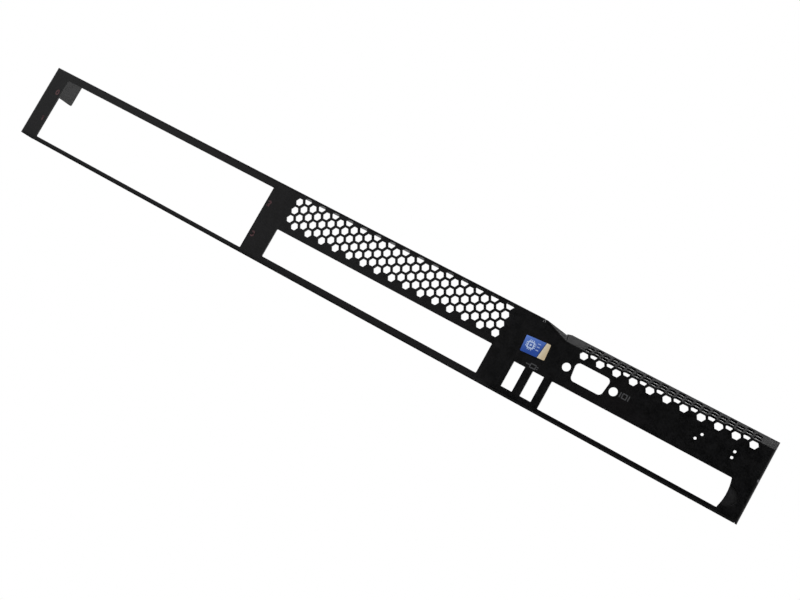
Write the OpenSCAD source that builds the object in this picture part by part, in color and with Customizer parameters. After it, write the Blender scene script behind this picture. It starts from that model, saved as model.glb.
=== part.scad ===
// Front bezel of a 1U rack server: one punched and folded steel sheet with a stuck-on label.
// Millimetres, +Z up, the face looks along -Y, +X to the right as the face is read.
// Origin: the middle of the bounding box's underside. The sheet is drawn from its left end,
// its face on y = 0 and its underside on z = 0, and is then moved to that origin.

/* [Sheet] */
// Length from end to end
length = 440; // [432:1:460]
// Height of the tall part of the face
height = 42.6; // [42:0.1:44.5]
// Sheet thickness
sheet = 1; // [0.8:0.1:1.2]
// Inside radius of every bend
bend_radius = 0.5; // [0.3:0.1:0.8]
// Width of the seams between neighbouring flanges
seam = 0.4; // [0.2:0.1:0.8]

/* [Flanges] */
// Depth of the bottom flange, from the face
bottom_depth = 10; // [8:0.5:14]
// Depth of the top flange, from the face
top_depth = 11; // [8:0.5:14]
// Depth of the two end flanges, from the face
end_depth = 12; // [9:0.5:13.5]
// Height of the bend line at the foot of the slope
slope_foot = 37.35; // [36.6:0.05:38]
// Height of the sloping flange's rear edge
slope_top = 43; // [42:0.1:44.5]
// Length of the sloping flange, from its bend line to its rear edge
slope_length = 15.2; // [14.4:0.1:18]
// How far its left side runs to the left, from the bend line to the rear edge
slope_drift = 3.8; // [2:0.1:5]
// Cut off its rear left corner, along each side
slope_corner = 2.5; // [1:0.1:4]
// Top flange's end, where the ramp begins, from the right end
ramp_start = 121.2; // [119.5:0.1:124]
// Foot of the ramp, where the slope begins, from the right end
ramp_foot = 107.1; // [104:0.1:108]
// How much of the sloping flange's left side the ramp's flange covers
ramp_share = 0.7; // [0.5:0.05:0.8]
// Width of the groove between the two
ramp_groove = 0.3; // [0.1:0.05:0.5]
// Depth of the groove between the two
groove_depth = 0.5; // [0.2:0.05:0.6]
// Diameter of the relief hole at the top of the ramp
relief_d = 1.4; // [0.8:0.1:1.8]

/* [End lugs] */
// Depth of the lugs behind the face
lug_depth = 27; // [20:0.5:34]
// Underside of the lugs
lug_bottom = 28.3; // [26:0.1:32]
// Top of the lugs
lug_top = 41.4; // [38:0.1:41.8]
// Corner radius at the lugs' rear
lug_corner = 1; // [0.4:0.1:3]
// Screw hole diameter in the end flanges
screw_d = 3.4; // [2.6:0.1:4.4]
// Screw holes behind the face
screw_y = 6.5; // [5:0.1:8.5]
// Lower screw hole above the underside
screw_low = 9; // [6:0.5:14]
// Distance between the two screw holes at an end
screw_pitch = 24; // [18:0.5:26]

/* [Drive window] */
// Left side of the drive window
drive_x = 10.9; // [6:0.1:12]
// Width of the drive window
drive_w = 146.1; // [140:0.1:150]
// Foot of the drive window
drive_z = 2.1; // [2:0.1:4]
// Height of the drive window
drive_h = 36.1; // [30:0.1:37]
// Corner radius of the three windows
window_corner = 0.5; // [0.2:0.1:1.5]

/* [Middle window] */
// Upright between the drive window and the middle window
drive_web = 13.5; // [12:0.1:24]
// Upright between the middle window and the left slot
middle_web = 13.85; // [13:0.05:24]
// Foot of the middle window
middle_z = 3.5; // [2:0.1:5]
// Height of the middle window
middle_h = 16.25; // [12:0.05:17.5]

/* [Right window] */
// Right side of the right window, from the right end
right_margin = 11.1; // [10:0.1:14]
// Upright between the right slot and the right window
right_web = 4.25; // [3:0.05:12]
// Foot of the right window
right_z = 2.3; // [2:0.1:4]
// Height of the right window
right_h = 15; // [12:0.1:16.5]
// Radius of the shallow arc in the right window's side
arc_r = 24.5; // [18:0.5:40]
// How far the arc reaches into the face
arc_rise = 0.95; // [0.4:0.05:1.5]
// Middle of the arc above the underside
arc_z = 9.9; // [8.5:0.1:10.5]

/* [Finger dish] */
// Radius of the dished recess at its rim
dish_r = 5.25; // [3.5:0.05:6]
// Depth of the dished recess
dish_depth = 0.7; // [0.3:0.05:0.9]
// How far its wall runs in from rim to floor
dish_draft = 0.5; // [0.2:0.05:1]
// Middle of the dish, from the right end
dish_margin = 9.7; // [9:0.1:11]
// Middle of the dish above the underside
dish_z = 8.9; // [8.2:0.1:10.5]

/* [USB slots] */
// Right side of the right slot, from the right end
usb_margin = 108.25; // [107:0.05:112]
// Width of a slot
usb_w = 6.15; // [4:0.05:7]
// Height of a slot
usb_h = 13.5; // [11:0.1:15]
// Foot of the slots
usb_z = 3.75; // [2.5:0.05:5]
// Distance between the slots
usb_pitch = 10.4; // [9:0.1:12]

/* [Video opening] */
// Middle of the opening, from the right end
video_margin = 88.75; // [86:0.05:92]
// Middle of the opening above the underside
video_z = 26.6; // [25.4:0.1:27]
// Height of the D-shaped opening
video_h = 9.4; // [8:0.1:10]
// Width along the top of the D
video_w = 18.1; // [16:0.1:18.6]
// Lean of each side of the D, in degrees
video_lean = 7; // [4:0.5:11]
// Corner radius of the D
video_corner = 2.2; // [1:0.1:2.6]
// Diameter of the two jackscrew holes
jack_d = 4.3; // [3.2:0.1:5]
// Distance between the jackscrew holes
jack_pitch = 24.99; // [24.8:0.01:25.4]

/* [Light holes] */
// Diameter of the light holes
light_d = 1.4; // [1:0.1:2]
// Height of the upper light holes
light_high = 28.3; // [27.8:0.1:29]
// Height of the lower light holes
light_low = 25.3; // [24:0.1:25.8]
// Upper hole of the left pair, from the right end
light_a = 31.6; // [30:0.1:33]
// Lower hole of the left pair, from the right end
light_b = 33.55; // [31:0.05:36]
// Right pair, from the right end
light_c = 15.4; // [13:0.1:18]

/* [Honeycomb] */
// Width across flats of a hole
hex_flats = 3.8; // [3.4:0.1:4.4]
// Distance between neighbouring holes
hex_pitch = 5.02; // [4.9:0.01:5.3]
// First column of the middle field, from the middle window's left side
middle_first = 3.5; // [2:0.1:8]
// Least distance from its last column to the middle window's right side
middle_last = 1.2; // [0.5:0.1:4]
// Height of the middle field's lowest row
middle_low_row = 25.17; // [24:0.01:25.6]
// Last column of the slope field, from the right end
slope_last = 9.5; // [8.5:0.1:12]
// Least distance from its first column to the ramp's foot
slope_first = 10; // [7:0.1:12]
// Height of the slope field's lowest row
slope_low_row = 35.21; // [34.6:0.01:35.4]

/* [Label] */
// Width of the label
label_w = 12.9; // [10:0.1:15]
// Height of the label
label_h = 8.3; // [6:0.1:9]
// Thickness of the label
label_t = 0.3; // [0.1:0.05:0.8]
// Corner radius of the label
label_corner = 0.5; // [0.3:0.1:1.5]
// Middle of the label, from the right end
label_margin = 118.8; // [117:0.1:121]
// Middle of the label above the underside
label_z = 27.85; // [27:0.05:28.5]
// Tilt of the label, in degrees
label_tilt = 4.2; // [0:0.1:6]

/* [Output] */
// Piece to draw, or all

/* [Hidden] */
$fn = 48;
outer = sheet + bend_radius;                 // outside radius of every bend
neutral = bend_radius + sheet / 2;           // radius at which the sheet keeps its length
over = sheet;                                // how far cutters run past what they cut
far = lug_depth + over;                      // depth behind everything
depth = lug_depth + label_t;                 // overall depth
usb_x = length - usb_margin - usb_w;         // left side of the right slot
middle_x = drive_x + drive_w + drive_web;    // left side of the middle window
middle_w = usb_x - usb_pitch - middle_web - middle_x;
right_x = usb_x + usb_w + right_web;         // left side of the right window
right_w = length - right_margin - right_x;
ramp_top_x = length - ramp_start;
ramp_foot_x = length - ramp_foot;
slope_lean = asin((slope_top - slope_foot) / slope_length);
slope_back = slope_length * cos(slope_lean);
slope_skew = atan(slope_drift / slope_length);
// the ramp's plane holds its top, its foot and the slope's rear left corner
ramp_a = [ramp_top_x, 0, height];
ramp_b = [ramp_foot_x, 0, slope_foot];
ramp_c = [ramp_foot_x - slope_drift, slope_back, slope_top];
ramp_run = norm(ramp_b - ramp_a);
ramp_fall = atan2(height - slope_foot, ramp_foot_x - ramp_top_x);
ramp_normal = cross(ramp_b - ramp_a, ramp_c - ramp_a);
ramp_lean = asin(abs(ramp_normal[1]) / norm(ramp_normal));
ramp_d = ramp_b + ramp_share * (ramp_c - ramp_b);             // rear corner of its flange
ramp_u = (ramp_d - ramp_a) * (ramp_b - ramp_a) / ramp_run;   // the same, along the ramp
ramp_w = ramp_share * norm(ramp_normal) / ramp_run;          // the same, across the ramp
tuck = 0.4 * sheet;                          // how far the two flanges run past their joint
hex_r = hex_flats / sqrt(3);                 // centre to corner of a hole
hex_half = hex_flats / 2;
column_step = hex_pitch * cos(30);
// the middle field keeps an even number of columns, and the slope field an odd one
middle_columns = 2 * floor((middle_w - middle_first - middle_last + column_step) / column_step / 2);
slope_columns = 2 * floor((ramp_foot - slope_last - slope_first) / column_step / 2) + 1;
slices = 3;                                  // facets a hole takes around a bend
lap = sheet / 100;                           // how far cutters of one hole lap each other
lap_turn = 0.6;                              // the same around a bend, in degrees

// Distance from a bend's sharp edge to where the bend begins, for a flange leaning back
function set_back(lean) = outer * tan((90 - lean) / 2);

// --- sheet -------------------------------------------------------------------

// Shape in the YZ plane, drawn along X from x0 to x1
module along_x(x0, x1)
    translate([x0, 0, 0]) rotate([90, 0, 90]) linear_extrude(x1 - x0) children();

// What lies behind the face and under a flange, r in from the bend's centre line,
// from z = low up to a bend whose sharp edge is at z = edge
module behind_face(r, edge, lean, low) {
    zc = edge - set_back(lean);
    rise = zc + r * cos(lean) + (far - outer + r * sin(lean)) * tan(lean);
    polygon([[outer - r, low], [outer - r, zc], [outer - r * sin(lean), zc + r * cos(lean)],
             [far, rise], [far, low]]);
    translate([outer, zc]) circle(r);
}

// The same, closed by the bottom bend
module section(r, edge, lean) {
    behind_face(r, edge, lean, outer);
    translate([outer, outer - r]) square([far - outer, r]);
    translate([outer, outer]) circle(r);
}

// What lies between the two end flanges, seen from above
module between_ends(r) {
    reach = length - 2 * outer;
    translate([0, 0, -over]) linear_extrude(height + far) {
        translate([outer - r, outer]) square([reach + 2 * r, far]);
        translate([outer, outer - r]) square([reach, outer]);
        for (x = [outer, length - outer]) translate([x, outer]) circle(r);
    }
}

// A run of face with all its flanges, from x0 to x1
module folded(x0, x1, edge, lean) {
    difference() {
        intersection() {
            along_x(x0, x1) section(outer, edge, lean);
            between_ends(outer);
        }
        intersection() {
            along_x(x0 - over, x1 + over) section(bend_radius, edge, lean);
            between_ends(bend_radius);
        }
    }
}

// Frame whose X runs down the ramp's bend line and whose Z stands square to it in the face
module ramp_frame() translate(ramp_a) rotate([0, ramp_fall, 0]) children();

// What the tall sheet gives up to the ramp: all that lies above the start of the ramp's bend
module above_ramp() intersection() {
    ramp_frame() translate([-ramp_run, -over, -set_back(ramp_lean)])
        cube([2 * ramp_run, far + 2 * over, far]);
    translate([ramp_top_x, -over, outer]) cube([ramp_run, far + 2 * over, height]);
}

// The flange folded back from the ramp: bend and triangle. It runs in under the slope.
module ramp_flange() {
    low = -set_back(ramp_lean) - over / 2;
    intersection() {
        ramp_frame() along_x(0, ramp_run + over) difference() {
            behind_face(outer, 0, ramp_lean, low);
            behind_face(bend_radius, 0, ramp_lean, low - over);
        }
        ramp_frame() rotate([ramp_lean, 0, 0]) translate([0, 0, -2 * outer])
            linear_extrude(2 * outer + over)
                polygon([[0, -outer], [0, 0], [ramp_u, ramp_w], [ramp_u + tuck, ramp_w],
                         [ramp_run + tuck, 0], [ramp_run + tuck, -outer]]);
        translate([ramp_top_x, -over, 0]) cube([ramp_run, far, height]);
    }
}

// What the sloping sheet lacks on its left: all beside its joint with the ramp's flange, and
// the cut corner behind it
module beside_slope() {
    corner = [-slope_drift, slope_length];
    low = corner + slope_corner * [sin(slope_skew), -cos(slope_skew)];
    top = 2 * (corner + [slope_corner, 0]) - low;
    left = -2 * slope_drift - far;
    on_slope(ramp_foot_x - tuck) translate([0, 0, -2 * height])
        linear_extrude(2 * height + far)
            polygon([[0, -2 * height], [0, 0], low, top, [left, top[1]], [left, -2 * height]]);
}

// Frame on the slope's outer surface: Y up the slope from its sharp edge, Z square to it
module on_slope(x) translate([x, 0, slope_foot]) rotate([slope_lean, 0, 0]) children();

// Rear parts of the flanges that are cut off: behind the bottom and top flanges, behind
// the slope, and behind the end flanges except for their lugs
module flange_trim() {
    inner_x = sheet + seam;
    reach = length - 2 * inner_x;
    translate([inner_x, bottom_depth, -over]) cube([reach, far, height / 2]);
    translate([inner_x, top_depth, height / 2]) cube([ramp_top_x + over / 2 - inner_x, far, height]);
    on_slope(ramp_foot_x - 2 * slope_drift) translate([0, slope_length, -sheet - seam])
        cube([ramp_foot + 2 * slope_drift + over, far, far]);
    difference() {
        translate([-over, end_depth, -over]) cube([length + 2 * over, far, height + far]);
        translate([inner_x, 0, 0]) cube([reach, far + end_depth, height + far]);
        along_x(-over, length + over) lug_outline();
        on_slope(ramp_foot_x) translate([0, 0, -sheet - seam / 2])
            cube([ramp_foot + 2 * over, slope_length, sheet + over]);
    }
}

// Outline of a lug, from the side
module lug_outline() {
    translate([0, lug_bottom]) square([lug_depth - lug_corner, lug_top - lug_bottom]);
    translate([0, lug_bottom + lug_corner])
        square([lug_depth, lug_top - lug_bottom - 2 * lug_corner]);
    for (z = [lug_bottom + lug_corner, lug_top - lug_corner])
        translate([lug_depth - lug_corner, z]) circle(lug_corner);
}

// Seams that part the flanges from one another behind the bends: the sloping flange runs
// out over the right end flange, the others butt against the end flanges
module seams() {
    translate([sheet, outer, height / 2]) cube([seam, far, height]);
    for (x = [sheet, length - sheet - seam])
        translate([x, outer, -over]) cube([seam, far, 3 * over]);
    on_slope(length - sheet) translate([0, outer, -sheet - seam]) cube([sheet + over, far, seam]);
    translate([ramp_top_x - seam / 2, -over, height - outer]) cube([seam, far, height]);
}

// Relief hole in the face, where the top bend ends and the ramp's bend begins
module relief() {
    translate([ramp_top_x, 2 * outer, height - outer]) rotate([90, 0, 0])
        cylinder(d = relief_d, h = 3 * outer);
}

// Groove between the ramp's flange and the sloping flange, down the valley where they join
module valley_groove() {
    on_slope(ramp_foot_x) rotate([0, 0, slope_skew])
        translate([-ramp_groove / 2, outer, -groove_depth])
            cube([ramp_groove, ramp_share * slope_length - outer, groove_depth + over]);
}

// --- openings ----------------------------------------------------------------

// Shape in the XZ plane, driven through the face
module through_face()
    translate([0, sheet + over, 0]) rotate([90, 0, 0]) linear_extrude(sheet + 2 * over) children();

module rounded_box(w, h, r) {
    translate([r, 0]) square([w - 2 * r, h]);
    translate([0, r]) square([w, h - 2 * r]);
    for (x = [r, w - r], z = [r, h - r]) translate([x, z]) circle(r);
}

// Opening of the right window: a box with a shallow arc let into its right side
module right_window() {
    side = length - right_margin;
    translate([right_x, right_z]) rounded_box(right_w, right_h, window_corner);
    intersection() {
        translate([side + arc_rise - arc_r, arc_z]) circle(arc_r);
        translate([side - 2 * over, right_z + window_corner])
            square([4 * over, right_h - 2 * window_corner]);
    }
}

// D-shaped opening, its sides leaning in towards the foot
module video_shape() {
    top = video_w / 2 - video_corner;
    // the side stands square to its lean, so its corner circles share one tangent
    foot = top - (video_h - 2 * video_corner) * tan(video_lean);
    span = video_h / 2 - video_corner;
    c = video_corner * cos(video_lean);
    s = video_corner * sin(video_lean);
    for (side = [-1, 1]) {
        translate([side * top, span]) circle(video_corner);
        translate([side * foot, -span]) circle(video_corner);
    }
    polygon([[-foot, -video_h / 2], [foot, -video_h / 2], [foot + c, -span - s],
             [top + c, span - s], [top, video_h / 2], [-top, video_h / 2],
             [-top - c, span - s], [-foot - c, -span - s]]);
}

module openings() {
    through_face() {
        translate([drive_x, drive_z]) rounded_box(drive_w, drive_h, window_corner);
        translate([middle_x, middle_z]) rounded_box(middle_w, middle_h, window_corner);
        right_window();
        for (i = [0, 1])
            translate([usb_x - i * usb_pitch, usb_z]) square([usb_w, usb_h]);
        translate([length - video_margin, video_z]) {
            video_shape();
            for (side = [-1, 1]) translate([side * jack_pitch / 2, 0]) circle(d = jack_d);
        }
        for (p = [[light_a, light_high], [light_b, light_low], [light_c, light_high],
                  [light_c, light_low]])
            translate([length - p[0], p[1]]) circle(d = light_d);
    }
    for (x = [sheet + over, length + over], z = [screw_low, screw_low + screw_pitch])
        translate([x, screw_y, z]) rotate([0, -90, 0]) cylinder(d = screw_d, h = sheet + 2 * over);
}

// --- honeycomb ---------------------------------------------------------------

// Six-sided cutter with flats above and below, standing from y = -h to y = 0
module hex_cutter(h) rotate([90, 0, 0]) cylinder(r = hex_r, h = h, $fn = 6);

// Hole in the flat of the face
module face_hole(x, z) translate([x, sheet + over, z]) hex_cutter(sheet + 2 * over);

// Frame at a bend, turned by an angle around the bend's centre line
module at_bend(x, edge, lean, turn)
    translate([x, outer, edge - set_back(lean)]) rotate([-turn, 0, 0]) children();

// Wedge of a bend between two angles
module bend_wedge(x, edge, lean, from, to) {
    reach = 2 * outer;
    at_bend(x - hex_r - over, edge, lean, 0)
        along_x(0, 2 * (hex_r + over))
            polygon([[0, 0], [-reach * cos(from), reach * sin(from)],
                     [-reach * cos(to), reach * sin(to)]]);
}

// Hole punched at height s of the unfolded sheet, carried around the bend: its part in the
// face, its slices through the bend square to the sheet, and its part in the flange
module wrapped_hole(x, s, edge, lean) {
    bend = 90 - lean;
    start = edge - set_back(lean);
    span = neutral * bend * PI / 180;
    if (s - hex_half < start)
        intersection() {
            face_hole(x, s);
            translate([x - hex_r - over, -over, start + lap - 2 * hex_pitch])
                cube([2 * (hex_r + over), sheet + 2 * over, 2 * hex_pitch]);
        }
    for (i = [0 : slices - 1]) {
        from = i * bend / slices;
        to = from + bend / slices;
        mid = (from + to) / 2;
        if (s + hex_half > start + span * i / slices
            && s - hex_half < start + span * (i + 1) / slices)
            intersection() {
                at_bend(x, edge, lean, mid)
                    translate([0, 0, s - start - span * (i + 0.5) / slices])
                        hex_cutter(outer + over);
                bend_wedge(x, edge, lean, from - lap_turn, to + lap_turn);
            }
    }
    if (s + hex_half > start + span)
        intersection() {
            at_bend(x, edge, lean, bend) translate([0, -bend_radius + over, s - start - span])
                hex_cutter(sheet + 2 * over);
            at_bend(x - hex_r - over, edge, lean, bend) translate([0, -outer - over, -lap])
                cube([2 * (hex_r + over), sheet + 2 * over, 3 * hex_pitch]);
        }
}

// Middle field: seven rows, the topmost carried into the top bend
module middle_field() {
    for (i = [0 : middle_columns - 1]) {
        x = middle_x + middle_first + i * column_step;
        odd = i % 2;
        low = middle_low_row + (1 - odd) * hex_pitch / 2;
        for (j = [0 : 2]) face_hole(x, low + j * hex_pitch);
        if (odd == 1) wrapped_hole(x, low + 3 * hex_pitch, height, 0);
    }
}

// Slope field: a row in the face, a row on the bend and four rows on the slope
module slope_field() {
    for (i = [0 : slope_columns - 1]) {
        x = length - slope_last - i * column_step;
        low = slope_low_row + (i % 2) * hex_pitch / 2;
        for (j = [0 : 2]) wrapped_hole(x, low + j * hex_pitch, slope_foot, slope_lean);
    }
}

// --- pieces ------------------------------------------------------------------

// Stamped recess at the right window: its rear bulge, then its hollow
module dish_bulge() {
    translate([length - dish_margin, sheet, dish_z]) rotate([-90, 0, 0])
        cylinder(r1 = dish_r + dish_draft, r2 = dish_r, h = dish_depth);
}

module dish_hollow() {
    translate([length - dish_margin, 0, dish_z]) rotate([-90, 0, 0])
        cylinder(r1 = dish_r, r2 = dish_r - dish_draft, h = dish_depth);
}

module bezel() color([0.09, 0.09, 0.1]) difference() {
    union() {
        difference() {
            folded(-over, ramp_foot_x, height, 0);
            above_ramp();
        }
        difference() {
            folded(ramp_foot_x - 2 * slope_drift, length + over, slope_foot, slope_lean);
            beside_slope();
        }
        ramp_flange();
        dish_bulge();
    }
    flange_trim();
    seams();
    relief();
    valley_groove();
    dish_hollow();
    openings();
    middle_field();
    slope_field();
}

module badge() color([0.1, 0.25, 0.6])
    translate([length - label_margin, 0, label_z]) rotate([0, -label_tilt, 0])
        translate([-label_w / 2, 0, -label_h / 2]) rotate([90, 0, 0])
            linear_extrude(label_t) rounded_box(label_w, label_h, label_corner);

translate([-length / 2, label_t - depth / 2, 0]) {
    bezel();
    badge();
}
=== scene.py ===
# %% [markdown]
# # Front bezel of a rack server
#
# The real object is one sheet of steel, 1 mm thick, punched and folded, then powder coated
# black. A small printed label is stuck on the face, and a few signs are screen printed on it.
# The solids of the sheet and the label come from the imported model, so this script gives them
# their finishes, adds the printed signs, and builds a plain studio around them.
#
# Everything is in metres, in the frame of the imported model: X along the bezel, Y from the
# face to the rear, Z up, with the bezel standing on z = 0.

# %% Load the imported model
import math

import bpy
import numpy as np
from mathutils import Matrix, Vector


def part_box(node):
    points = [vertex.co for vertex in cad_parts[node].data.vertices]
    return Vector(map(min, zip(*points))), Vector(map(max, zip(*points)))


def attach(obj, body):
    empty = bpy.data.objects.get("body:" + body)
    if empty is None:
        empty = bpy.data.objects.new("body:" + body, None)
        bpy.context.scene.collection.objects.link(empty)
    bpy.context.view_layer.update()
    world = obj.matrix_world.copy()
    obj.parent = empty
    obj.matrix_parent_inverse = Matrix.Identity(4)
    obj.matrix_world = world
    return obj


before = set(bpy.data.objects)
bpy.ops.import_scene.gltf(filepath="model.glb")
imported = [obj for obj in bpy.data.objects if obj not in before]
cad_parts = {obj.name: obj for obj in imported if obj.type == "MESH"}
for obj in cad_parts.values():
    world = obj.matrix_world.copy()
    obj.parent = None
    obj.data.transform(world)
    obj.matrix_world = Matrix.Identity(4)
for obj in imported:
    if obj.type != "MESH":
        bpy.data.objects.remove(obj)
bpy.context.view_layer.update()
sheet_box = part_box("bezel")
label_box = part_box("badge")
print("nodes", sorted(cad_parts))
print("bezel from", [round(v, 4) for v in sheet_box[0]], "to", [round(v, 4) for v in sheet_box[1]])

# %% [markdown]
# ## Working from the drawing
#
# The drawing measures from the bezel's left end and from its face. Two small helpers turn
# such a place, in millimetres, into a place in the frame, so that every sign below can be
# given as it would be on the drawing.

# %% Places on the face
MM = 0.001
left_end = sheet_box[0][0]
right_end = sheet_box[1][0]
face_y = sheet_box[0][1]
label_front_y = label_box[0][1]
label_middle = [(a + b) / 2 for a, b in zip(*label_box)]


def on_face(x, z):
    """x millimetres from the left end and z millimetres up, on the face."""
    return left_end + x * MM, face_y, z * MM


print("face at y", round(face_y, 5), "label stands", round((face_y - label_front_y) / MM, 2), "mm proud")

# %% [markdown]
# ## A short way to write shader nodes
#
# A procedural finish is a small graph. These helpers add one node at a time, and accept
# either a number or the output of another node, so that each finish reads as a few lines of
# arithmetic.

# %% Node helpers
def finish_named(name):
    """An empty material with one Principled shader, and its node tree."""
    material = bpy.data.materials.new(name)
    material.use_nodes = True
    tree = material.node_tree
    return material, tree, tree.nodes["Principled BSDF"]


def feed(tree, socket, value):
    """Links value into socket if it is a node's output, or else writes it there."""
    if isinstance(value, bpy.types.NodeSocket):
        tree.links.new(value, socket)
    else:
        socket.default_value = value


def place_on_object(tree):
    """Object coordinates, in metres."""
    return tree.nodes.new("ShaderNodeTexCoord").outputs["Object"]


def calc(tree, operation, a, b=0.0, c=0.0):
    """One arithmetic step on numbers."""
    node = tree.nodes.new("ShaderNodeMath")
    node.operation = operation
    for socket, value in zip(node.inputs, (a, b, c)):
        feed(tree, socket, value)
    return node.outputs[0]


def vector_calc(tree, operation, a, b):
    """One arithmetic step on vectors. A dot product or a distance gives a number."""
    node = tree.nodes.new("ShaderNodeVectorMath")
    node.operation = operation
    feed(tree, node.inputs[0], a)
    feed(tree, node.inputs[1], b)
    return node.outputs["Value" if operation in ("DOT_PRODUCT", "DISTANCE") else "Vector"]


def blend(tree, share, first, second):
    """Colour first where share is 0, second where it is 1."""
    node = tree.nodes.new("ShaderNodeMix")
    node.data_type = "RGBA"
    feed(tree, node.inputs["Factor"], share)
    feed(tree, node.inputs[6], first)
    feed(tree, node.inputs[7], second)
    return node.outputs[2]


def cloud(tree, place, grain, detail=2.0, rough=0.5):
    """Smooth random pattern from 0 to 1, with features about grain metres across."""
    node = tree.nodes.new("ShaderNodeTexNoise")
    feed(tree, node.inputs["Vector"], place)
    node.inputs["Scale"].default_value = 1.0 / grain
    node.inputs["Detail"].default_value = detail
    node.inputs["Roughness"].default_value = rough
    return node.outputs["Fac"]


def step_up(tree, value, low, high):
    """0 below low, 1 above high, and a smooth slope between them."""
    node = tree.nodes.new("ShaderNodeMapRange")
    node.interpolation_type = "SMOOTHSTEP"
    feed(tree, node.inputs["Value"], value)
    feed(tree, node.inputs["From Min"], low)
    feed(tree, node.inputs["From Max"], high)
    return node.outputs["Result"]


def relief(tree, height, depth):
    """A bump of the given depth in metres, as a normal."""
    node = tree.nodes.new("ShaderNodeBump")
    node.inputs["Strength"].default_value = 1.0
    node.inputs["Distance"].default_value = depth
    feed(tree, node.inputs["Height"], height)
    return node.outputs["Normal"]


print("helpers ready")

# %% [markdown]
# ## Black powder coat
#
# Powder coat on a chassis part is a fine orange peel with grains just under a millimetre
# across. It is nearly black, a little warmer in places, and has a soft sheen. Three noises
# make it: a fine one for the grain, in the colour, the roughness and the relief, a wider one
# for the mottle, and a wide one for the slow drift to the warm tone. At one spot on the right
# end the coat has been knocked off, and the steel shows: a test of the distance from that
# spot, made ragged by a fine noise, mixes the steel in. Around the finger dish beside it a
# paler tone is painted in, a painted highlight for the light that the dish's wall catches. It
# is a second, wider test around the dish's middle.

# %% Powder coat
COAT_DARK = (0.0026, 0.0026, 0.0029, 1)
COAT_LIGHT = (0.0080, 0.0078, 0.0084, 1)
COAT_WARM = (0.0082, 0.0064, 0.0070, 1)
# painted highlight: this paler tone at the finger dish stands in for light caught by the dish's wall
COAT_DISH_HIGHLIGHT = (0.0290, 0.0285, 0.0290, 1)
STEEL = (0.16, 0.16, 0.17, 1)
GRAIN_ACROSS = 0.0008
MOTTLE_ACROSS = 0.004
DRIFT_ACROSS = 0.045
CHIP_EDGE_ACROSS = 0.0009
PEEL_DEPTH = 0.00004


def powder_coat(knock, knock_radius, dish, dish_radius):
    """Fine-grained black coat, worn through around knock, with a painted highlight around dish."""
    material, tree, shader = finish_named("powder_coat")
    place = place_on_object(tree)
    grain = cloud(tree, place, GRAIN_ACROSS, 3.0, 0.65)
    mottle = cloud(tree, place, MOTTLE_ACROSS, 1.0, 0.5)
    drift = cloud(tree, place, DRIFT_ACROSS, 2.0, 0.5)

    # two blacks mixed by grain and mottle, and a warm one where the drift is high
    share = calc(tree, "MULTIPLY_ADD", mottle, 0.35, calc(tree, "MULTIPLY", grain, 0.65))
    tone = blend(tree, step_up(tree, share, 0.35, 0.65), COAT_DARK, COAT_LIGHT)
    warm = calc(tree, "MULTIPLY", step_up(tree, drift, 0.45, 0.75), 0.6)
    coat = blend(tree, warm, tone, COAT_WARM)

    # painted highlight round the dish: a paler tone, with an edge that the mottle moves
    from_dish = vector_calc(tree, "DISTANCE", place, dish)
    reach = calc(tree, "MULTIPLY_ADD", mottle, dish_radius * 0.5, from_dish)
    dish_highlight = calc(tree, "SUBTRACT", 1.0, step_up(tree, reach, dish_radius * 0.85, dish_radius * 1.35))
    coat = blend(tree, calc(tree, "MULTIPLY", dish_highlight, share), coat, COAT_DISH_HIGHLIGHT)

    # bare steel at the knock, with a ragged edge
    away = vector_calc(tree, "DISTANCE", place, knock)
    ragged = calc(tree, "MULTIPLY_ADD", cloud(tree, place, CHIP_EDGE_ACROSS), knock_radius, away)
    worn = calc(tree, "SUBTRACT", 1.0, step_up(tree, ragged, knock_radius * 1.2, knock_radius * 1.6))
    feed(tree, shader.inputs["Base Color"], blend(tree, worn, coat, STEEL))
    feed(tree, shader.inputs["Metallic"], calc(tree, "MULTIPLY", worn, 0.5))
    feed(tree, shader.inputs["Roughness"], calc(tree, "MULTIPLY_ADD", share, 0.3, 0.3))
    shader.inputs["Specular IOR Level"].default_value = 0.25
    feed(tree, shader.inputs["Normal"], relief(tree, grain, PEEL_DEPTH))
    return material


KNOCK_RADIUS = 0.8 * MM
DISH_RADIUS = 5.25 * MM
knock = (right_end - 0.5 * MM, face_y + 0.3 * MM, 21.6 * MM)
dish = (right_end - 9.7 * MM, face_y, 8.9 * MM)
coat = powder_coat(knock, KNOCK_RADIUS, dish, DISH_RADIUS)
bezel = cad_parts["bezel"]
bezel.data.materials.clear()
bezel.data.materials.append(coat)
print("powder coat on", bezel.name, "with", len(bezel.data.polygons), "faces")

# %% [markdown]
# ## Printed label
#
# The label is a piece of glossy film, 13 mm by 8 mm, stuck on by hand a few degrees out of
# level. It is printed blue with a cream end. The print is worked out in the label's own two
# directions, across and up, which are dot products with the tilted axes. The sign on it is a
# plain chip: a square ring with short legs on each side, and three short bars beside it.

# %% Label print
LABEL_TILT = math.radians(4.2)
BLUE_DEEP = (0.021, 0.080, 0.400, 1)
BLUE_PALE = (0.130, 0.260, 0.760, 1)
SIGN_WHITE = (0.560, 0.680, 0.930, 1)
CREAM = (0.730, 0.590, 0.370, 1)
CREAM_PALE = (0.800, 0.700, 0.520, 1)
LINE_DARK = (0.025, 0.040, 0.080, 1)
EDGE_SOFT = 0.04
CHIP_ACROSS, CHIP_UP = -2.6, 0.3
BARS_ACROSS = 1.2
CREAM_ACROSS = 3.3


def inside(tree, value, half):
    """1 where value lies within half of 0, with a slightly soft edge."""
    size = calc(tree, "ABSOLUTE", value)
    return calc(tree, "SUBTRACT", 1.0, step_up(tree, size, half - EDGE_SOFT, half + EDGE_SOFT))


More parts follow.
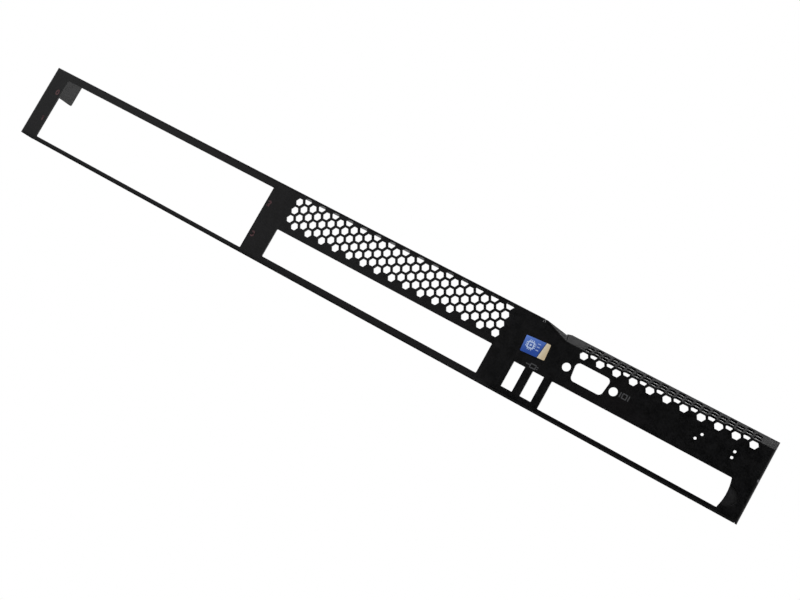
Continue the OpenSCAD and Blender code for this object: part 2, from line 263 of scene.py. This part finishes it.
def print_label():
    """Blue film with a chip sign, and a cream end behind a slanting line. Lengths in mm."""
    material, tree, shader = finish_named("label_print")
    offset = vector_calc(tree, "SUBTRACT", place_on_object(tree), label_middle)
    c, s = math.cos(LABEL_TILT) / MM, math.sin(LABEL_TILT) / MM
    across = vector_calc(tree, "DOT_PRODUCT", offset, (c, 0, s))
    up = vector_calc(tree, "DOT_PRODUCT", offset, (-s, 0, c))

    # blue ground, paler towards the upper left
    glow = calc(tree, "MULTIPLY_ADD", up, 0.11, calc(tree, "MULTIPLY_ADD", across, -0.045, 0.28))
    colour = blend(tree, step_up(tree, glow, 0.0, 1.1), BLUE_DEEP, BLUE_PALE)

    # chip sign: a ring, and legs that are stripes cut off by a wider square
    sign_x = calc(tree, "ABSOLUTE", calc(tree, "SUBTRACT", across, CHIP_ACROSS))
    sign_y = calc(tree, "ABSOLUTE", calc(tree, "SUBTRACT", up, CHIP_UP))
    reach = calc(tree, "MAXIMUM", sign_x, sign_y)
    ring = inside(tree, calc(tree, "SUBTRACT", reach, 1.45), 0.28)
    legs_band = inside(tree, calc(tree, "SUBTRACT", reach, 2.1), 0.42)
    short_side = calc(tree, "MINIMUM", sign_x, sign_y)
    stripes = inside(tree, calc(tree, "PINGPONG", short_side, 0.45), 0.2)
    legs = calc(tree, "MULTIPLY", calc(tree, "MULTIPLY", legs_band, stripes),
                inside(tree, short_side, 1.15))
    core = inside(tree, reach, 0.5)
    sign = calc(tree, "MAXIMUM", calc(tree, "MAXIMUM", ring, legs), core)
    colour = blend(tree, sign, colour, SIGN_WHITE)

    # three short bars beside the chip
    bar_place = calc(tree, "ADD", up, 1.0)
    bars = calc(tree, "MULTIPLY", inside(tree, calc(tree, "PINGPONG", bar_place, 0.8), 0.22),
                inside(tree, calc(tree, "SUBTRACT", across, BARS_ACROSS), 0.75))
    bars = calc(tree, "MULTIPLY", bars, inside(tree, calc(tree, "SUBTRACT", up, CHIP_UP), 2.2))
    colour = blend(tree, calc(tree, "MULTIPLY", bars, 0.75), colour, SIGN_WHITE)

    # cream end behind a slanting dark line
    edge = calc(tree, "SUBTRACT", calc(tree, "MULTIPLY_ADD", up, -0.2, across), CREAM_ACROSS)
    cream = blend(tree, step_up(tree, edge, 0.0, 3.0), CREAM_PALE, CREAM)
    colour = blend(tree, step_up(tree, edge, -0.05, 0.05), colour, cream)
    colour = blend(tree, inside(tree, edge, 0.16), colour, LINE_DARK)
    feed(tree, shader.inputs["Base Color"], colour)
    shader.inputs["Roughness"].default_value = 0.32
    feed(tree, shader.inputs["Normal"],
         relief(tree, cloud(tree, place_on_object(tree), 0.0016), 0.00002))
    return material


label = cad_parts["badge"]
label.data.materials.clear()
label.data.materials.append(print_label())
print("label", [round((b - a) / MM, 1) for a, b in zip(*label_box)], "mm")

# %% [markdown]
# ## Screen-printed signs
#
# The signs are strokes of ink a few hundredths of a millimetre thick. A stroke is a flat
# rectangle carried along a path in the plane of the face. Each point of the path gets the
# four corners of the rectangle, set off along the path's normal, and the rings of corners are
# joined by quads. A closed path joins its last ring to its first, an open one is capped.

# %% Strokes of ink
INK_THICK = 0.03 * MM


def stroke(path, width, closed=False):
    """Corners and faces of one stroke. Corner k of ring i is path(i) + normal(i) * side(k) *
    width / 2, at depth(k), where normal is the unit tangent turned by a quarter turn."""
    path = np.asarray(path, float)
    if closed:
        tangent = np.roll(path, -1, 0) - np.roll(path, 1, 0)
    else:
        tangent = np.gradient(path, axis=0)
    tangent /= np.linalg.norm(tangent, axis=1, keepdims=True)
    normal = np.stack([-tangent[:, 1], tangent[:, 0]], 1)
    side = np.array([1, -1, -1, 1]) * width / 2
    depth = np.array([0, 0, 1, 1])
    flat = path[:, None, :] + normal[:, None, :] * side[None, :, None]
    rings = np.concatenate([flat, np.broadcast_to(depth[None, :, None], flat.shape[:2] + (1,))], 2)
    count = len(path)
    runs = np.arange(count if closed else count - 1)
    a = runs[:, None] * 4 + np.arange(4)[None, :]
    b = (runs[:, None] + 1) % count * 4 + np.arange(4)[None, :]
    quads = np.stack([a, b, np.roll(b, -1, 1), np.roll(a, -1, 1)], 2).reshape(-1, 4)
    if not closed:
        last = 4 * (count - 1)
        quads = np.vstack([quads, [0, 1, 2, 3], [last + 3, last + 2, last + 1, last]])
    return rings.reshape(-1, 3), quads


def print_on_face(name, strokes, ink):
    """One mesh of strokes. Each is (rings, quads, x, z, size): the path's units times size,
    in millimetres, moved to x, z on the face. Depth 1 is the ink's outer surface."""
    points, quads, base = [], [], 0
    for ring, quad, x, z, size in strokes:
        ox, oy, oz = on_face(x, z)
        place = np.stack([ox + ring[:, 0] * size * MM, oy - ring[:, 2] * INK_THICK,
                          oz + ring[:, 1] * size * MM], 1)
        points.append(place)
        quads.append(quad + base)
        base += len(place)
    mesh = bpy.data.meshes.new(name)
    mesh.from_pydata(np.vstack(points).tolist(), [], np.vstack(quads).tolist())
    mesh.validate()
    mesh.update()
    mesh.materials.append(ink)
    piece = bpy.data.objects.new(name, mesh)
    bpy.context.scene.collection.objects.link(piece)
    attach(piece, "root")
    print(name, len(strokes), "strokes,", len(mesh.polygons), "faces")
    return piece


def arc(cx, cy, rx, ry, start, end, steps=24):
    """Points on an ellipse about (cx, cy), from one angle to another, in degrees."""
    t = np.radians(np.linspace(start, end, steps))
    return np.stack([cx + rx * np.cos(t), cy + ry * np.sin(t)], 1)


def line(*corners, steps=6):
    """Points along straight runs between corners."""
    corners = np.asarray(corners, float)
    runs = [np.linspace(p, q, steps, endpoint=False) for p, q in zip(corners[:-1], corners[1:])]
    return np.vstack(runs + [corners[-1:]])


print("ink", INK_THICK / MM, "mm thick")

# %% [markdown]
# ## Inks
#
# Screen ink is a thin matt film: one colour, slightly broken by the grain of the coat under
# it. The bay digits are a dull wine red, the port signs a worn grey.

# %% Inks
def screen_ink(name, colour, worn):
    """Matt ink of that colour, worn towards black where the coat's grain stands up."""
    material, tree, shader = finish_named(name)
    place = place_on_object(tree)
    wear = calc(tree, "MULTIPLY", step_up(tree, cloud(tree, place, 0.0007), 0.4, 0.7), worn)
    feed(tree, shader.inputs["Base Color"], blend(tree, wear, colour, COAT_LIGHT))
    shader.inputs["Roughness"].default_value = 0.7
    return material


red_ink = screen_ink("wine_red_ink", (0.095, 0.040, 0.044, 1), 0.5)
grey_ink = screen_ink("grey_ink", (0.08, 0.08, 0.085, 1), 0.5)
print("inks", red_ink.name, grey_ink.name)

# %% [markdown]
# ## Bay digits
#
# The tall window at the left takes four drives. Each drive's digit is printed on the upright
# at the nearer end of the window. A digit is drawn from arcs and straight lines, about one
# unit high, and its strokes are then sized in millimetres.

# %% Digits beside the drive window
DIGIT_UNIT = 3.0
DIGIT_STROKE = 0.26
digit_paths = {
    0: (arc(0, 0, 0.27, 0.43, 0, 345, 24), True),
    1: (line((-0.16, 0.24), (0.04, 0.43), (0.04, -0.43)), False),
    2: (np.vstack([arc(0, 0.19, 0.25, 0.24, 165, -35, 18),
                   line((0.16, -0.02), (-0.26, -0.43), (0.28, -0.43))]), False),
    3: (np.vstack([arc(-0.02, 0.21, 0.24, 0.22, 150, -80, 16),
                   arc(-0.02, -0.2, 0.27, 0.23, 80, -150, 18)]), False),
}
digit_places = {0: (8.6, 29.6), 1: (8.6, 12.7), 2: (159.2, 29.7), 3: (159.5, 11.6)}
digits = []
for digit, (x, z) in digit_places.items():
    path, closed = digit_paths[digit]
    rings, quads = stroke(path, DIGIT_STROKE, closed)
    digits.append((rings, quads, x, z, DIGIT_UNIT))
print_on_face("bay_digits", digits, red_ink)

# %% [markdown]
# ## Port signs
#
# Beside the video opening there is the usual sign for a screen, a square between two bars.
# Over the two upright slots there is a plain plug: a box with a short lead and two prongs.

# %% Signs by the ports
SIGN_STROKE = 0.55
SCREEN_SIGN = (369.5, 26.9)
BAR_AWAY = 2.2
PLUG_SIGN = (324.0, 19.3)
PRONG_AWAY = 0.5
screen = line((-1.05, -1.15), (1.05, -1.15), (1.05, 1.15), (-1.05, 1.15), steps=8)
screen = np.vstack([screen[:-1], np.linspace((-1.05, 1.15), (-1.05, -1.15), 8, endpoint=False)])
bar = line((0, -1.3), (0, 1.3))
plug = np.vstack([line((-0.9, -0.95), (1.9, -0.95), (1.9, 0.95), (-0.9, 0.95), steps=6)[:-1],
                  np.linspace((-0.9, 0.95), (-0.9, -0.95), 6, endpoint=False)])
lead = line((-3.3, 0), (-1.2, 0))
prong = line((2.3, 0), (3.3, 0))
signs = [
    (*stroke(screen, SIGN_STROKE, True), *SCREEN_SIGN, 1.0),
    *((*stroke(bar, SIGN_STROKE), SCREEN_SIGN[0] + side * BAR_AWAY, SCREEN_SIGN[1], 1.0)
      for side in (-1, 1)),
    (*stroke(plug, SIGN_STROKE, True), *PLUG_SIGN, 1.0),
    (*stroke(lead, SIGN_STROKE), *PLUG_SIGN, 1.0),
    *((*stroke(prong, SIGN_STROKE * 0.8), PLUG_SIGN[0], PLUG_SIGN[1] + side * PRONG_AWAY, 1.0)
      for side in (-1, 1)),
]
print_on_face("port_signs", signs, grey_ink)

# %% [markdown]
# ## Floor
#
# The bezel stands on a wide pale floor. The camera looks up at the face from a little below
# it, so the floor is made like stage scenery, with one good side: seen from above it is a
# matt pale sheet that takes the shadow, and seen from below the camera looks through it.
# Away from the bezel it fades into the white of the backdrop, so that there is no horizon:
# the distance from the middle, and a ray that comes straight from the camera, choose white.

# %% Floor that shows from above
FLOOR_HALF = 3.0
FLOOR_Z = -0.2 * MM
FLOOR_FADE = (0.35, 1.5)
FLOOR_DARK = (0.84, 0.84, 0.84, 1)
FLOOR_PALE = (0.88, 0.88, 0.88, 1)


def mix_shaders(tree, share, first, second):
    """Shader first where share is 0, second where it is 1."""
    mix = tree.nodes.new("ShaderNodeMixShader")
    for socket, source in zip(mix.inputs, (share, first, second)):
        tree.links.new(source, socket)
    return mix.outputs[0]


def floor_finish():
    """Pale matt sheet with a faint mottle; its underside lets the view through."""
    material, tree, shader = finish_named("pale_floor")
    mottle = cloud(tree, place_on_object(tree), 0.08)
    tone = blend(tree, mottle, FLOOR_DARK, FLOOR_PALE)
    feed(tree, shader.inputs["Base Color"], tone)
    shader.inputs["Roughness"].default_value = 0.8
    shader.inputs["Specular IOR Level"].default_value = 0.0
    far = step_up(tree, vector_calc(tree, "DISTANCE", place_on_object(tree), (0, 0, 0)), *FLOOR_FADE)
    direct = tree.nodes.new("ShaderNodeLightPath").outputs["Is Camera Ray"]
    white = tree.nodes.new("ShaderNodeEmission")
    fade = calc(tree, "MULTIPLY", far, direct)
    faded = mix_shaders(tree, fade, shader.outputs[0], white.outputs[0])
    clear = tree.nodes.new("ShaderNodeBsdfTransparent")
    side = tree.nodes.new("ShaderNodeNewGeometry").outputs["Backfacing"]
    both = mix_shaders(tree, side, faded, clear.outputs[0])
    tree.links.new(both, tree.nodes["Material Output"].inputs["Surface"])
    return material


corner = np.array([(-1, -1), (1, -1), (1, 1), (-1, 1)]) * FLOOR_HALF
floor_mesh = bpy.data.meshes.new("floor")
floor_mesh.from_pydata([(x, y, FLOOR_Z) for x, y in corner], [], [(0, 1, 2, 3)])
floor_mesh.materials.append(floor_finish())
floor = bpy.data.objects.new("floor", floor_mesh)
bpy.context.scene.collection.objects.link(floor)
print("floor", 2 * FLOOR_HALF, "m square")

# %% [markdown]
# ## Light
#
# Two wide soft boxes stand high in front and one behind, with an even room around them, at
# a level at which a colour looks about as it is written. They give plain light only: what
# the gloss mirrors is set by the cards below.

# %% Soft boxes
SOFTBOX_SIZE = 1.2
AIM = (0, 0, 0.02)


def softbox(name, place, power):
    """Square area lamp at place, turned towards the bezel, unseen by the gloss."""
    lamp = bpy.data.lights.new(name, "AREA")
    lamp.shape = "SQUARE"
    lamp.size = SOFTBOX_SIZE
    lamp.energy = power
    box = bpy.data.objects.new(name, lamp)
    back = np.subtract(place, AIM)
    back = back / np.linalg.norm(back)
    right = np.cross((0, 0, 1), back)
    right = right / np.linalg.norm(right)
    up = np.cross(back, right)
    turn = np.stack([right, up, back], 1).tolist()
    box.matrix_world = Matrix([[*row, p] for row, p in zip(turn, place)] + [[0, 0, 0, 1]])
    bpy.context.scene.collection.objects.link(box)
    box.visible_glossy = False
    print(name, "at", place, "with", power, "W")


softbox("key", (-0.9, -1.1, 1.7), 12.0)
softbox("fill", (1.0, -0.9, 1.6), 5.0)
softbox("rear", (-0.3, 1.5, 1.2), 8.0)

# %% [markdown]
# ## Cards for the gloss
#
# Black paint shows its shape only by what it mirrors. Cards are placed around it for this:
#
# - a black cloth on the floor in front, a black card beyond it and a black roof, which the right
#   half of the face, the bottom strip and the top bends mirror, so that the face fades from
#   left to right;
# - a grey card high behind, which the slope mirrors;
# - a narrow dark cloth on the floor behind, which the rim of the relief hole mirrors;
# - a lit card behind to the right, which the inner side of the left lug mirrors.
#
# They show in the gloss only, and neither shade the scene nor block the view. A card is
# a flat patch between four corners: the corners' weights are the products of u or 1 - u with
# v or 1 - v, on a grid of u and v. Glow adds light of the card's own. The cloths lie a tenth
# of a millimetre off the level that the bezel stands on.

# %% Cards
BLACK = 0.01
GREY = 0.8
PALE = 0.9
PALE_GLOW = 2.2
CLOTH_Z = 0.0001
FRONT_Y = -1.5
REAR_Y = 1.3
RIGHT_X = 2.2
ROOF_Z = 1.3


def card(name, corners, shade, glow=0.0, steps=3):
    """Patch p(u, v) = sum of corner * weight, for u and v from 0 to 1."""
    u, v = np.meshgrid(np.linspace(0, 1, steps), np.linspace(0, 1, steps), indexing="ij")
    weights = np.stack([(1 - u) * (1 - v), u * (1 - v), u * v, (1 - u) * v], 2)
    points = weights.reshape(-1, 4) @ np.asarray(corners, float)
    first = (np.arange(steps - 1)[:, None] * steps + np.arange(steps - 1)[None, :]).ravel()
    quads = np.stack([first, first + steps, first + steps + 1, first + 1], 1)
    mesh = bpy.data.meshes.new(name)
    mesh.from_pydata(points.tolist(), [], quads.tolist())
    material, tree, shader = finish_named(name + "_paper")
    grain = cloud(tree, place_on_object(tree), 0.01)
    tone = blend(tree, grain, (shade * 0.95,) * 3 + (1,), (shade,) * 3 + (1,))
    feed(tree, shader.inputs["Base Color"], tone)
    shader.inputs["Roughness"].default_value = 0.9
    feed(tree, shader.inputs["Emission Color"], tone)
    shader.inputs["Emission Strength"].default_value = glow
    mesh.materials.append(material)
    sheet_of_card = bpy.data.objects.new(name, mesh)
    bpy.context.scene.collection.objects.link(sheet_of_card)
    for ray in ("camera", "diffuse", "transmission", "volume_scatter", "shadow"):
        setattr(sheet_of_card, "visible_" + ray, False)
    print(name, "of shade", shade)


card("black_cloth", [(0.09, -0.0135, -CLOTH_Z), (0.9, -0.0135, -CLOTH_Z),
                     (RIGHT_X, FRONT_Y, -CLOTH_Z), (-0.8, FRONT_Y, -CLOTH_Z)], BLACK)
card("black_card", [(-0.7, FRONT_Y, 0), (RIGHT_X, FRONT_Y, 0),
                    (RIGHT_X, FRONT_Y, ROOF_Z), (-0.7, FRONT_Y, ROOF_Z)], BLACK)
card("black_roof", [(-1.4, FRONT_Y, ROOF_Z), (RIGHT_X, FRONT_Y, ROOF_Z),
                    (RIGHT_X, 0.45, ROOF_Z), (-1.4, 0.45, ROOF_Z)], BLACK)
card("grey_card", [(-0.9, 0.5, ROOF_Z), (1.1, 0.5, ROOF_Z),
                   (1.1, REAR_Y, 0.5), (-0.9, REAR_Y, 0.5)], GREY)
card("rear_cloth", [(-0.25, REAR_Y, CLOTH_Z), (0.1, REAR_Y, CLOTH_Z),
                    (0.12, 0.02, CLOTH_Z), (0.02, 0.02, CLOTH_Z)], BLACK)
card("lit_card", [(0.3, REAR_Y, 0), (1.8, REAR_Y, 0),
                  (1.8, REAR_Y, 0.6), (0.3, REAR_Y, 0.6)], PALE, PALE_GLOW)

# %% [markdown]
# ## Room
#
# The world is an even grey that fills in the shadows. The camera sees it as plain white, and
# so do mirrored and refracted rays, so that the gloss shows the same white as the backdrop.

# %% Studio world
ROOM = (0.45, 0.45, 0.46, 1)
WHITE = (1, 1, 1, 1)
world = bpy.data.worlds.new("studio")
bpy.context.scene.world = world
world.use_nodes = True
world_tree = world.node_tree
ground = world_tree.nodes["Background"]
path = world_tree.nodes.new("ShaderNodeLightPath")
seen = calc(world_tree, "MAXIMUM", path.outputs["Is Camera Ray"],
            calc(world_tree, "MAXIMUM", path.outputs["Is Glossy Ray"],
                 path.outputs["Is Transmission Ray"]))
feed(world_tree, ground.inputs["Color"], blend(world_tree, seen, ROOM, WHITE))
ground.inputs["Strength"].default_value = 1.0
print("world", ROOM[:3], "white to the camera")

# %% [markdown]
# ## Camera
#
# The view is close and a little from below, level with the right end, and turned about its
# own axis so that the long face runs down across the frame. Its axes are given as three unit
# vectors: right, up and back. A very small shift trims the framing.

# %% Camera
CAMERA_PLACE = (0.22067, -0.56881, -0.01997)
CAMERA_RIGHT = (0.83389, 0.25424, 0.48989)
CAMERA_UP = (-0.44624, -0.21178, 0.86949)
CAMERA_BACK = (0.32481, -0.94367, -0.06315)
LENS_MM = 52.886
FILM_MM = 36.0
SHIFT_X, SHIFT_Y = -0.000625, 0.000625
NEAREST = 0.02
view = bpy.data.cameras.new("view")
view.sensor_width = FILM_MM
view.lens = LENS_MM
view.shift_x, view.shift_y = SHIFT_X, SHIFT_Y
view.clip_start = NEAREST
camera = bpy.data.objects.new("view", view)
axes = zip(CAMERA_RIGHT, CAMERA_UP, CAMERA_BACK, CAMERA_PLACE)
camera.matrix_world = Matrix([list(row) for row in axes] + [[0, 0, 0, 1]])
bpy.context.scene.collection.objects.link(camera)
bpy.context.scene.camera = camera
bpy.context.scene.view_settings.view_transform = "Standard"
print("lens", view.lens, "mm")
